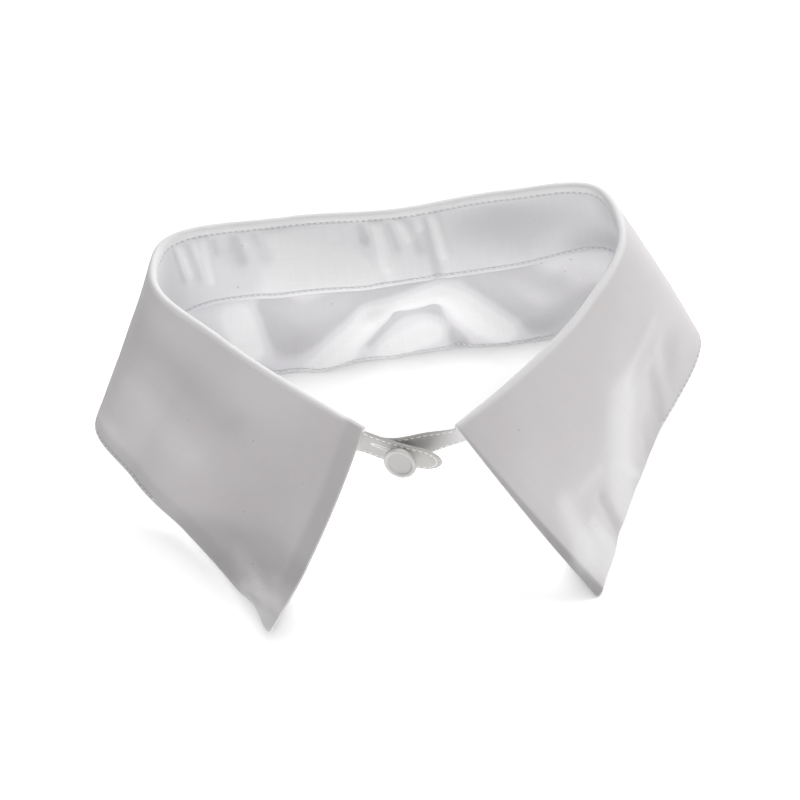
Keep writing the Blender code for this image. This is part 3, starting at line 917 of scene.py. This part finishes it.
def make_cotton():
    """Make the starched cotton."""
    made, tree, shader = start_material(
        "cotton_poplin", Roughness=0.85, Sheen_Weight=0.12, Sheen_Roughness=0.5, Specular_IOR_Level=0.25,
        Subsurface_Weight=0.6, Subsurface_Radius=(1.0, 1.0, 1.0), Subsurface_Scale=0.0009,
    )
    flat = read(tree, "cloth_mm", "Vector")
    along, down, _ = add_node(tree, "ShaderNodeSeparateXYZ", None, Vector=flat).outputs
    place = add_node(tree, "ShaderNodeTexCoord").outputs["Object"]
    edge, from_turn, crease = [read(tree, name) for name in ("edge_mm", "hem_mm", "crease_mm")]
    is_leaf, is_stand = read(tree, "is_leaf"), read(tree, "is_stand")
    off_stand = work_out(tree, "SUBTRACT", 1.0, is_stand)
    weave = make_weave(tree, flat)
    add_relief(tree, shader, weave, place, edge)
    # A faint mottle, whiter on the faces that lie inside than on the leaf's outer face, which is painted darker
    # as painted shade
    mottle = add_noise(tree, place, 22.0, 4.0)
    inside = blend(tree, mottle, "EBEAEC", "F5F4F6")
    tone = blend(tree, is_leaf, inside, blend(tree, mottle, "D8D3D3", "EAE8EA"))
    # The fold's crest, painted the whitest as a painted highlight
    crest = ramp(tree, down, *CREST_BAND, 0.85, 0.0)
    tone = blend(tree, multiply(tree, crest, off_stand), tone, "FFFFFF")
    tone = blend(tree, allowance_band(tree, from_turn, along, flat, is_leaf), tone, "D3D1D1")
    tone = blend(tree, rolled_edge(tree, along, down, is_leaf), tone, "A3A1A2")
    # Creases: the ridges are painted lighter and the troughs darker, as painted highlight and painted shade. The
    # soft light alone would show them too faintly.
    fading = work_out(tree, "MULTIPLY_ADD", is_leaf, -0.25, 1.0)
    for deepest, share, code in ((1.0, 0.75, "FFFFFF"), (-1.0, 0.42, "BAB9BA")):
        tone = blend(tree, multiply(tree, ramp(tree, crease, 0.0, deepest, 0.0, share), fading), tone, code)
    # The shade between the stitches in the stand's groove, and along the hem's stitches
    groove = ramp(tree, read(tree, "stitching_mm"), *LINE_SHADE, 0.5, 0.0)
    tone = blend(tree, multiply(tree, groove, is_stand), tone, "BCBCC8")
    tone = blend(tree, hem_line(tree, from_turn, along, is_leaf, off_stand), tone, "ABABB4")
    # The tabs, painted greyer towards their ends as painted shade
    tone = blend(tree, multiply(tree, read(tree, "tab_shade"), 0.85), tone, "B2B0AC")
    # Threads a little lighter and darker than their neighbours, which the shallow weave alone hardly shows
    tone = blend(tree, ramp(tree, weave, 0.7, 1.5, 0.0, 0.1, "LINEAR"), tone, "9A9A9C")
    # A few specks of lint and dust
    speck = ramp(tree, add_noise(tree, place, 520.0, 1.0), 0.785, 0.815, 0.0, 0.45, "LINEAR")
    tree.links.new(blend(tree, speck, tone, "9C948E"), shader.inputs["Base Color"])
    return made


cotton = make_cotton()

# %% [markdown]
# ### Sewing thread and button
# The thread is bleached cotton with a low gloss and a twist. The button is a pressed casein or plastic one,
# a soft greyish white with a dull polish, cloudy inside. Its sunk face is painted greyer than its rim, as
# painted shade in the hollow, so the material reads each point's distance from the button's centre.

# %% The thread and the button's plastic
RIM_EDGE = (3.9, 4.5)


def make_thread_material():
    """Make the sewing thread's material."""
    made, tree, shader = start_material(
        "sewing_thread", Roughness=0.6, Sheen_Weight=0.2, Specular_IOR_Level=0.4
    )
    place = add_node(tree, "ShaderNodeTexCoord").outputs["Object"]
    twist = add_noise(tree, place, 2500.0, 2.0)
    tree.links.new(blend(tree, twist, "EDECEA", "FAFAF9"), shader.inputs["Base Color"])
    add_bumps(tree, shader, ((twist, 0.08),), 0.8)
    return made


def make_plastic():
    """Make the button's cloudy white plastic."""
    made, tree, shader = start_material(
        "pressed_plastic", Roughness=0.4, Coat_Weight=0.15, Coat_Roughness=0.25
    )
    place = add_node(tree, "ShaderNodeTexCoord").outputs["Object"]
    cloud = add_noise(tree, place, 260.0, 3.0, Distortion=0.6)
    # The sunk face inside the rim is painted greyer: painted shade in the hollow
    sunk = ramp(tree, read(tree, "radius_mm"), *RIM_EDGE, 1.0, 0.0)
    tone = blend(tree, sunk, blend(tree, cloud, "D2D1CE", "DFDEDC"), "CBC9C7")
    tree.links.new(tone, shader.inputs["Base Color"])
    tree.links.new(ramp(tree, cloud, 0.3, 0.7, 0.34, 0.5, "LINEAR"), shader.inputs["Roughness"])
    add_bumps(tree, shader, ((add_noise(tree, place, 1600.0, 2.0), 0.03),), 0.6)
    return made


sewing = make_thread_material()
plastic = make_plastic()
leaf.data.materials.append(cotton)
stand.data.materials.append(cotton)
print("materials:", cotton.name, sewing.name, plastic.name)

# %% [markdown]
# ## The button and its thread
# The button has a raised rim, a sunk face and a shank behind. It is turned from a profile. The thread goes
# from the shank through the buttonhole to the tab behind it: four strands twisted together, with a few turns
# wound round them where they are free, as a sewn button has.

# %% Build the button
BUTTON_DIAMETER = 11.0
BUTTON_THICKNESS = 2.0
BUTTON_RIM = 1.6
BUTTON_DISH = 0.6
BUTTON_DISH_SLOPE = 0.5
BUTTON_BEVEL = 0.5
SHANK_DIAMETER = 1.8
SHANK_LENGTH = 1.3
BUTTON_STANDOFF = 5.1
BUTTON_LIFT = 0.9
BUTTON_TILT = math.radians(11)
BUTTON_SIDES = 96
ROUND_STEPS = 6


def tab_place(distance, down):
    """Find a place on the left tab's middle, and the ways along the tab and down it."""
    share = distance / STAND_LENGTH
    places = []
    for near in (share - TANGENT_STEP, share, share + TANGENT_STEP):
        middle, half = stand_section(near)
        places.append(middle + half * (1 - 2 * down))
    return places[1], (places[2] - places[0]).normalized(), -stand_section(share)[1].normalized()


def frame_at(origin, along, upward):
    """Make a frame at a point, its Z axis along one direction and its Y axis near another."""
    z_axis = along.normalized()
    x_axis = upward.cross(z_axis).normalized()
    placed = Matrix((x_axis, z_axis.cross(x_axis), z_axis)).transposed().to_4x4()
    placed.translation = origin - FOOTPRINT_CENTRE
    return placed


def button_frame():
    """Stand the button in front of the hole's end, its face turned a little up."""
    hole, way, _down = tab_place(BUTTON_FROM_END, BUTTONHOLE_DEPTH)
    facing = UPRIGHT.cross(way).normalized()
    axis = facing * math.cos(BUTTON_TILT) + UPRIGHT * math.sin(BUTTON_TILT)
    return frame_at(hole + facing * BUTTON_STANDOFF + UPRIGHT * BUTTON_LIFT, axis, UPRIGHT)


def rounded(start, corner, end, steps):
    """Round a corner of a profile from one point to another."""
    points = []
    for step in range(steps + 1):
        part = step / steps
        parts = ((1 - part) ** 2, 2 * part * (1 - part), part**2)
        points.append(tuple(
            sum(weight * value for weight, value in zip(parts, values)) for values in zip(start, corner, end)
        ))
    return points


def button_profile():
    """Draw the button's profile as (radius, height), from the shank's end round the rim to the face."""
    radius, half, shank = BUTTON_DIAMETER / 2, BUTTON_THICKNESS / 2, SHANK_DIAMETER / 2
    dish, bottom, soft = radius - BUTTON_RIM, half - BUTTON_DISH, BUTTON_BEVEL
    back, slope, middle = -half - SHANK_LENGTH, dish + BUTTON_DISH_SLOPE, half - BUTTON_DISH / 2
    profile = [(0, back)]
    profile += rounded((shank - 0.3, back), (shank, back), (shank, 0.3 + back), 3)
    profile += rounded((shank, -half - 0.3), (shank, -half), (shank + 0.3, -half), 3)
    profile += rounded((radius - soft, -half), (radius, -half), (radius, soft - half), ROUND_STEPS)
    profile += rounded((radius, half - soft), (radius, half), (radius - soft, half), ROUND_STEPS)
    profile += rounded((slope + 0.3, half), (slope, half), (dish + 0.25, middle), 4)
    profile += rounded((dish + 0.2, middle - 0.05), (dish, bottom), (dish - 0.4, bottom), 4)
    return profile + [(dish / 2, bottom - 0.05), (0, bottom - 0.08)]


def revolve(name, profile, sides, placed):
    """Turn a profile round the frame's Z axis into a closed body."""
    mesh = bmesh.new()
    radius_layer = mesh.verts.layers.float.new("radius_mm")
    rings = []
    for radius, height in profile:
        count = sides if radius > 0 else 1
        ring = []
        for index in range(count):
            angle = math.tau * index / sides
            spot = Vector((radius * math.cos(angle), radius * math.sin(angle), height))
            made = mesh.verts.new(placed @ spot * MM)
            made[radius_layer] = radius
            ring.append(made)
        rings.append(ring)
    for lower, upper in zip(rings, rings[1:]):
        for index in range(sides):
            after = (index + 1) % sides
            corners = [lower[index % len(lower)], lower[after % len(lower)]]
            corners += [upper[after % len(upper)], upper[index % len(upper)]]
            add_face(mesh, corners)
    return finish_mesh(name, mesh)


button = revolve("button_disc", button_profile(), BUTTON_SIDES, button_frame())
button.data.materials.append(plastic)

# %% Build the button's thread
THREAD_REACH = 2.6
STRANDS = 4
STRAND_RADIUS = 0.24
STRAND_TWISTS = 1.5
WRAP_RADIUS = 0.16
WRAP_TURNS = 5
WRAP_LENGTH = 1.7
WRAP_STEPS = 16
STRAND_STEPS = 24
TUBE_SIDES = 10


def tube(mesh, path, radius):
    """Add a closed tube along a path to a mesh."""
    rings = []
    side = None
    for index, point in enumerate(path):
        way = (path[min(index + 1, len(path) - 1)] - path[max(index - 1, 0)]).normalized()
        side = way.orthogonal().normalized() if side is None else (side - way * side.dot(way)).normalized()
        other = way.cross(side)
        ring = []
        for step in range(TUBE_SIDES):
            angle = math.tau * step / TUBE_SIDES
            outward = side * math.cos(angle) + other * math.sin(angle)
            ring.append(mesh.verts.new((point + outward * radius) * MM))
        rings.append(ring)
    for lower, upper in zip(rings, rings[1:]):
        for step in range(TUBE_SIDES):
            after = (step + 1) % TUBE_SIDES
            mesh.faces.new((lower[step], lower[after], upper[after], upper[step]))
    mesh.faces.new(list(reversed(rings[0])))
    mesh.faces.new(rings[-1])


def build_thread():
    """Twist the strands and wind the thread round them."""
    placed = button_frame()
    back = BUTTON_THICKNESS / 2 + SHANK_LENGTH + SEAM_GAP / 2
    start = placed @ Vector((0, 0, -back)) + FOOTPRINT_CENTRE
    hole, _way, _down = tab_place(BUTTON_FROM_END, BUTTONHOLE_DEPTH)
    length = (hole - start).length + THREAD_REACH
    run = frame_at(start, hole - start, UPRIGHT)
    mesh = bmesh.new()
    offset = THREAD_DIAMETER / 2 - STRAND_RADIUS
    for strand in range(STRANDS):
        path = []
        for step in range(STRAND_STEPS + 1):
            part = step / STRAND_STEPS
            turn = math.tau * (strand / STRANDS + STRAND_TWISTS * part)
            path.append(run @ Vector((offset * math.cos(turn), offset * math.sin(turn), length * part)))
        tube(mesh, path, STRAND_RADIUS)
    path = []
    reach = THREAD_DIAMETER / 2 + WRAP_RADIUS * 0.5
    for step in range(WRAP_TURNS * WRAP_STEPS + 1):
        turn = math.tau * step / WRAP_STEPS
        along = 0.25 + WRAP_LENGTH * step / (WRAP_TURNS * WRAP_STEPS)
        path.append(run @ Vector((reach * math.cos(turn), reach * math.sin(turn), along)))
    tube(mesh, path, WRAP_RADIUS)
    return finish_mesh("shank_thread", mesh)


shank_thread = build_thread()
shank_thread.data.materials.append(sewing)
print(f"button: {len(button.data.polygons)} faces, thread: {len(shank_thread.data.polygons)} faces")

# %% [markdown]
# ## Stitches
# Lockstitch shows on both faces as short dashes, each a little sunk between two needle holes. A tree of
# geometry nodes lays them: it takes a path with the surface's direction on each point, spaces points evenly
# along it, puts one stitch on each, turned along the path, and makes them real. The buttonhole uses the same
# tree with its stitches turned across the path and close together.

# %% The stitching nodes
STITCH_INPUTS = (("Pitch", 0.002), ("Length", 0.0015), ("Thickness", 0.0004), ("Turn", 0.0), ("Unevenness", 0.1))


def make_stitching():
    """Build the node group that lays stitches along a path."""
    tree = bpy.data.node_groups.new("lay_stitches", "GeometryNodeTree")
    face = tree.interface
    face.new_socket("Path", in_out="INPUT", socket_type="NodeSocketGeometry")
    for name, value in STITCH_INPUTS:
        face.new_socket(name, in_out="INPUT", socket_type="NodeSocketFloat").default_value = value
    face.new_socket("Seed", in_out="INPUT", socket_type="NodeSocketInt").default_value = 1
    face.new_socket("Thread", in_out="INPUT", socket_type="NodeSocketMaterial")
    face.new_socket("Stitches", in_out="OUTPUT", socket_type="NodeSocketGeometry")
    given = tree.nodes.new("NodeGroupInput").outputs
    curve = add_node(tree, "GeometryNodeMeshToCurve", None, Mesh=given["Path"])
    spaced = add_node(
        tree, "GeometryNodeResampleCurve", {"mode": "LENGTH"},
        Curve=curve.outputs["Curve"], Length=given["Pitch"],
    )
    tangent = add_node(tree, "GeometryNodeInputTangent").outputs["Tangent"]
    facing = add_node(tree, "GeometryNodeInputNamedAttribute", {"data_type": "FLOAT_VECTOR"}, Name="facing")
    turned = add_node(
        tree, "FunctionNodeAxesToRotation", {"primary_axis": "X", "secondary_axis": "Z"},
        Primary_Axis=tangent, Secondary_Axis=facing.outputs["Attribute"],
    )
    chance = add_node(
        tree, "FunctionNodeRandomValue", {"data_type": "FLOAT"}, i2=-1.0, i3=1.0, Seed=given["Seed"]
    )
    wobble = add_node(
        tree, "ShaderNodeMath", {"operation": "MULTIPLY_ADD"},
        i0=chance.outputs[1], i1=given["Unevenness"], i2=given["Turn"],
    )
    spin = add_node(
        tree, "FunctionNodeAxisAngleToRotation", None, Axis=(0.0, 0.0, 1.0), Angle=wobble.outputs["Value"]
    )
    rotation = add_node(
        tree, "FunctionNodeRotateRotation", {"rotation_space": "LOCAL"},
        Rotation=turned.outputs["Rotation"], Rotate_By=spin.outputs["Rotation"],
    )
    ball = add_node(tree, "GeometryNodeMeshUVSphere", None, Segments=8, Rings=6, Radius=0.5)
    smooth = add_node(tree, "GeometryNodeSetShadeSmooth", None, Geometry=ball.outputs["Mesh"])
    size = add_node(
        tree, "ShaderNodeCombineXYZ", None, X=given["Length"], Y=given["Thickness"], Z=given["Thickness"]
    )
    stitch = add_node(
        tree, "GeometryNodeTransform", None, Geometry=smooth.outputs["Geometry"], Scale=size.outputs["Vector"]
    )
    placed = add_node(
        tree, "GeometryNodeInstanceOnPoints", None, Points=spaced.outputs["Curve"],
        Instance=stitch.outputs["Geometry"], Rotation=rotation.outputs["Rotation"],
    )
    real = add_node(tree, "GeometryNodeRealizeInstances", None, Geometry=placed.outputs["Instances"])
    dressed = add_node(
        tree, "GeometryNodeSetMaterial", None, Geometry=real.outputs["Geometry"], Material=given["Thread"]
    )
    add_node(tree, "NodeGroupOutput", None, Stitches=dressed.outputs["Geometry"])
    return tree


stitching = make_stitching()


def lay_stitches(name, paths, closed, **values):
    """Lay stitches along paths of (point, facing) pairs, as one plain mesh."""
    data = bpy.data.meshes.new(name)
    points, facings, edges = [], [], []
    for path in paths:
        first = len(points)
        points += [(point - FOOTPRINT_CENTRE) * MM for point, _facing in path]
        facings += [facing for _point, facing in path]
        edges += [(first + index, first + index + 1) for index in range(len(path) - 1)]
        if closed:
            edges.append((len(points) - 1, first))
    data.from_pydata(points, edges, [])
    layer = data.attributes.new("facing", "FLOAT_VECTOR", "POINT")
    layer.data.foreach_set("vector", [value for facing in facings for value in facing])
    path_object = bpy.data.objects.new(name + "_path", data)
    scene.collection.objects.link(path_object)
    layer = path_object.modifiers.new("stitches", "NODES")
    layer.node_group = stitching
    items = stitching.interface.items_tree
    sockets = {item.name: item.identifier for item in items if item.in_out == "INPUT"}
    layer[sockets["Thread"]] = sewing
    for key, value in values.items():
        layer[sockets[key.capitalize()]] = value
    graph = bpy.context.evaluated_depsgraph_get()
    mesh = bpy.data.meshes.new_from_object(path_object.evaluated_get(graph), depsgraph=graph)
    bpy.data.objects.remove(path_object)
    mesh.name = name
    made = bpy.data.objects.new(name, mesh)
    scene.collection.objects.link(made)
    if not mesh.materials:
        mesh.materials.append(sewing)
    print(f"{name}: {len(mesh.polygons)} faces")
    return made


# %% [markdown]
# ### Where the stitches run
# The stand is edge-stitched all round, two millimetres in from its edges, and so is most of the leaf's hem.
# A stitch lies on the cloth's face, so each path is read from the same surfaces as the cloth.

# %% Lay the stitches
STITCH_PITCH = 2.1
STITCH_LENGTH = 1.55
STITCH_THICKNESS = 0.55
STITCH_SINK = -0.02
STITCH_SIZES = {
    "pitch": STITCH_PITCH * MM, "length": STITCH_LENGTH * MM, "thickness": STITCH_THICKNESS * MM,
    "unevenness": 0.06,
}
SURFACE_STEP = 0.5
QUARTER_STEPS = 8


def on_face(place, along, across, length, half, side):
    """Find a point on one face of a wall and the way it faces, by its middle and its half thickness."""
    step = SURFACE_STEP / length
    ahead = place(min(1.0, along + step), across)
    behind = place(max(0.0, along - step), across)
    above = place(along, across + SURFACE_STEP)
    below = place(along, across - SURFACE_STEP)
    facing = (above - below).cross(ahead - behind).normalized() * side
    return place(along, across) + facing * (half - STITCH_SINK), facing


def stand_loop(side):
    """Run once round the stand a little inside its edge."""
    ends = TAB_ROUNDING - STITCH_INSET
    stations = []
    for step in range(-QUARTER_STEPS, QUARTER_STEPS):
        angle = math.pi / 2 * step / QUARTER_STEPS
        share = (TAB_ROUNDING - ends * math.cos(angle)) / STAND_LENGTH
        stations.append((share, (stand_section(share)[1].length - STITCH_INSET) * math.sin(angle)))
    count = round(STAND_LENGTH / STITCH_PITCH)
    rounding = TAB_ROUNDING / STAND_LENGTH
    straight = [rounding + (1 - 2 * rounding) * index / count for index in range(count + 1)]
    stations += [(share, stand_section(share)[1].length - stitch_inset(share, 1)) for share in straight]
    for step in range(1 - QUARTER_STEPS, QUARTER_STEPS + 1):
        angle = math.pi / 2 * step / QUARTER_STEPS
        share = 1 - (TAB_ROUNDING - ends * math.cos(angle)) / STAND_LENGTH
        stations.append((share, -(stand_section(share)[1].length - STITCH_INSET) * math.sin(angle)))
    stations += [(share, STITCH_INSET - stand_section(share)[1].length) for share in reversed(straight[1:-1])]
    half = half_wall(STITCH_INSET, 0.0)
    return [on_face(stand_place, share, height, STAND_LENGTH, half, side) for share, height in stations]


stand_stitches = lay_stitches(
    "stand_stitches", [stand_loop(1), stand_loop(-1)], True, seed=3, **STITCH_SIZES
)

# %% The leaf's hem stitches


def leaf_at(share, above_hem):
    """Find a place on the leaf's middle by its distance above the hem."""
    depth = leaf_fold(share)[3].length * leaf_fold(share)[5]
    return leaf_place(share, 1 - above_hem / depth)


def hem_path(side):
    """Follow the stitched stretch of the leaf's hem."""
    count = round(LEAF_LENGTH / STITCH_PITCH)
    first, last = HEM_STITCHED
    half = half_wall(HEM_INSET, None)
    shares = [first + (last - first) * index / count for index in range(count + 1)]
    return [on_face(leaf_at, share, HEM_INSET, LEAF_LENGTH, half, side) for share in shares]


leaf_stitches = lay_stitches(
    "leaf_stitches", [hem_path(1), hem_path(-1)], False, seed=5, **STITCH_SIZES
)

# %% [markdown]
# ### The buttonhole's edge
# The slit's raw edges are bound with close stitches laid across them, and each end has a few longer ones.

# %% Bind the buttonhole
BIND_PITCH = 0.34
BIND_LENGTH = 1.3
# The slit's raw edges are bound with close stitches laid across them, which turn round each end.
BIND_THICKNESS = 0.4
BIND_OFFSET = SLIT_WIDTH / 2 + 0.45
SIDE_STEPS = 22
END_STEPS = 6


def slit_loop(side):
    """Run round the slit on one face of the tab."""
    half = stand_section((SLIT_START + SLIT_END) / 2 / STAND_LENGTH)[1].length
    height = half * (1 - 2 * BUTTONHOLE_DEPTH)
    stations = []
    for start, end, offset in ((SLIT_START, SLIT_END, BIND_OFFSET), (SLIT_END, SLIT_START, -BIND_OFFSET)):
        for step in range(SIDE_STEPS + 1):
            stations.append((start + (end - start) * step / SIDE_STEPS, height + offset))
        beyond = 1 if offset > 0 else -1
        for step in range(1, END_STEPS):
            angle = math.pi * step / END_STEPS
            stations.append((end + beyond * BIND_OFFSET * math.sin(angle), height + offset * math.cos(angle)))
    wall = half_wall(ALLOWANCE_WIDTH, ALLOWANCE_WIDTH)
    shares = [(distance / STAND_LENGTH, high) for distance, high in stations]
    return [on_face(stand_place, share, high, STAND_LENGTH, wall, side) for share, high in shares]


buttonhole_stitches = lay_stitches(
    "buttonhole_stitches", [slit_loop(1), slit_loop(-1)], True,
    pitch=BIND_PITCH * MM, length=BIND_LENGTH * MM, thickness=BIND_THICKNESS * MM,
    turn=math.pi / 2, unevenness=0.08, seed=7,
)

# %% [markdown]
# ## Table and light
# Two soft lights hang behind, the stronger one to the right, and one in front. The cloth that stands up to
# them lets light through, and the left leaf, which turns away from both, is the darkest white in the picture.
# The table glows evenly, as a lit sheet of white acrylic under a small object does.

# %% Add the table and the lights
FLOOR_SIZE = 6.0
FLOOR_DROP = 0.05
TABLE_GLOW = 0.53
SHADE_REACH = 0.012
SHADE_START = 0.45
LIT_PLACE = (0.0, 0.0, 0.03)

# Each light: where it hangs and how wide it is, in metres, and its power in watts
Light = namedtuple("Light", "name place size power")
LIGHTS = (
    Light("window_behind", (0.0, 1.1, 1.0), 0.9, 9.0),
    Light("window_right", (0.9, 0.9, 0.9), 1.2, 15.0),
    Light("front_panel", (0.0, -1.2, 1.0), 1.2, 13.3),
)


def add_floor():
    """Lay the table under the collar."""
    white = light_of("FCFCFC")
    made, tree, shader = start_material(
        "white_table", Base_Color=white, Roughness=0.9, Specular_IOR_Level=0.1, Emission_Color=white,
    )
    # The glow is blocked where cloth lies close over the table, which leaves a thin shade along the hem
    near = add_node(tree, "ShaderNodeAmbientOcclusion", {"samples": 8}, Distance=SHADE_REACH)
    glow = ramp(tree, near.outputs["AO"], SHADE_START, 1.0, 0.0, TABLE_GLOW, "LINEAR")
    tree.links.new(glow, shader.inputs["Emission Strength"])
    data = bpy.data.meshes.new("table")
    half = FLOOR_SIZE / 2
    height = -FLOOR_DROP * MM
    corners = [(x * half, y * half, height) for x, y in ((-1, -1), (1, -1), (1, 1), (-1, 1))]
    data.from_pydata(corners, [], [(0, 1, 2, 3)])
    data.materials.append(made)
    floor = bpy.data.objects.new("table", data)
    scene.collection.objects.link(floor)


def add_light(light):
    """Hang a square soft light that shines at the collar."""
    data = bpy.data.lights.new(light.name, "AREA")
    data.shape = "SQUARE"
    data.size = light.size
    data.energy = light.power
    lamp = bpy.data.objects.new(light.name, data)
    lamp.location = light.place
    lamp.rotation_euler = (Vector(LIT_PLACE) - Vector(light.place)).to_track_quat("-Z", "Y").to_euler()
    scene.collection.objects.link(lamp)


add_floor()
for light in LIGHTS:
    add_light(light)
world = bpy.data.worlds.new("studio")
world.use_nodes = True
world.node_tree.nodes["Background"].inputs["Color"].default_value = (1.0, 1.0, 1.0, 1.0)
world.node_tree.nodes["Background"].inputs["Strength"].default_value = 0.0
scene.world = world
scene.view_settings.view_transform = "Standard"

# %% [markdown]
# ## Attach the pieces
# Each piece rides on the root body, and the solids that the pieces replace are hidden.

for piece, slot in (
    (leaf, "cotton"), (stand, "cotton"), (button, "button_plastic"), (shank_thread, "thread"),
    (stand_stitches, "thread"), (leaf_stitches, "thread"), (buttonhole_stitches, "thread"),
):
    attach(piece, "root")
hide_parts("collar_leaf")
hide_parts("collar_stand")
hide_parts("button")
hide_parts("button_thread")
